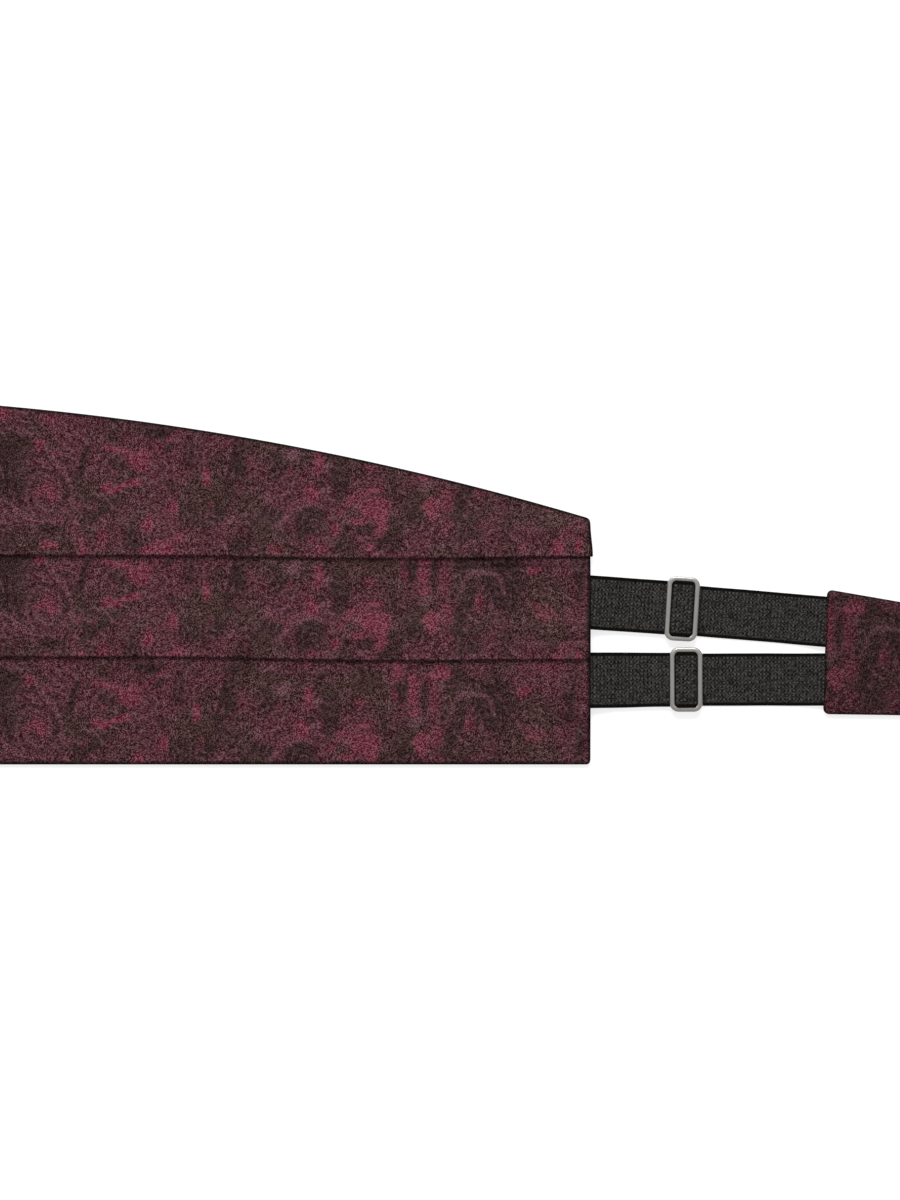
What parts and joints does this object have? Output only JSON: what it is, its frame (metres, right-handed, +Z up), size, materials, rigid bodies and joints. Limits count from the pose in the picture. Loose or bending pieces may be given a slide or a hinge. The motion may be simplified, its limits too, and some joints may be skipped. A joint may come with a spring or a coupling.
{
  "type": "cummerbund",
  "caption": "Flat-laid cummerbund: a panel with three long pleats and a curved edge, two elastic straps with slide adjusters on each side, cloth tabs, and a hook and loop.",
  "frame": {"origin": "middle of the whole outline, on the surface that the cummerbund lies on", "axes": "+X along the length towards the hook's end, +Y across the panel towards its curved edge, +Z up, the side with the folded pleats"},
  "size_m": [1.1236, 0.1414, 0.0075],
  "materials": {
    "jacquard": "woven, tone-on-tone burgundy scrollwork on dark brown",
    "elastic": "woven elastic webbing, charcoal, matt",
    "slider_metal": "satin die-cast zinc",
    "clasp_metal": "satin nickel-plated steel"
  },
  "bodies": {
    "root": {"pleated_panel": "jacquard", "right_tab": "jacquard", "left_tab": "jacquard", "right_lower_strap": "elastic", "right_upper_strap": "elastic", "left_lower_strap": "elastic", "left_upper_strap": "elastic", "right_lower_slider": "slider_metal", "right_upper_slider": "slider_metal", "left_lower_slider": "slider_metal", "left_upper_slider": "slider_metal", "hook_clasp": "clasp_metal", "loop_clasp": "clasp_metal"}
  },
  "joints": []
}
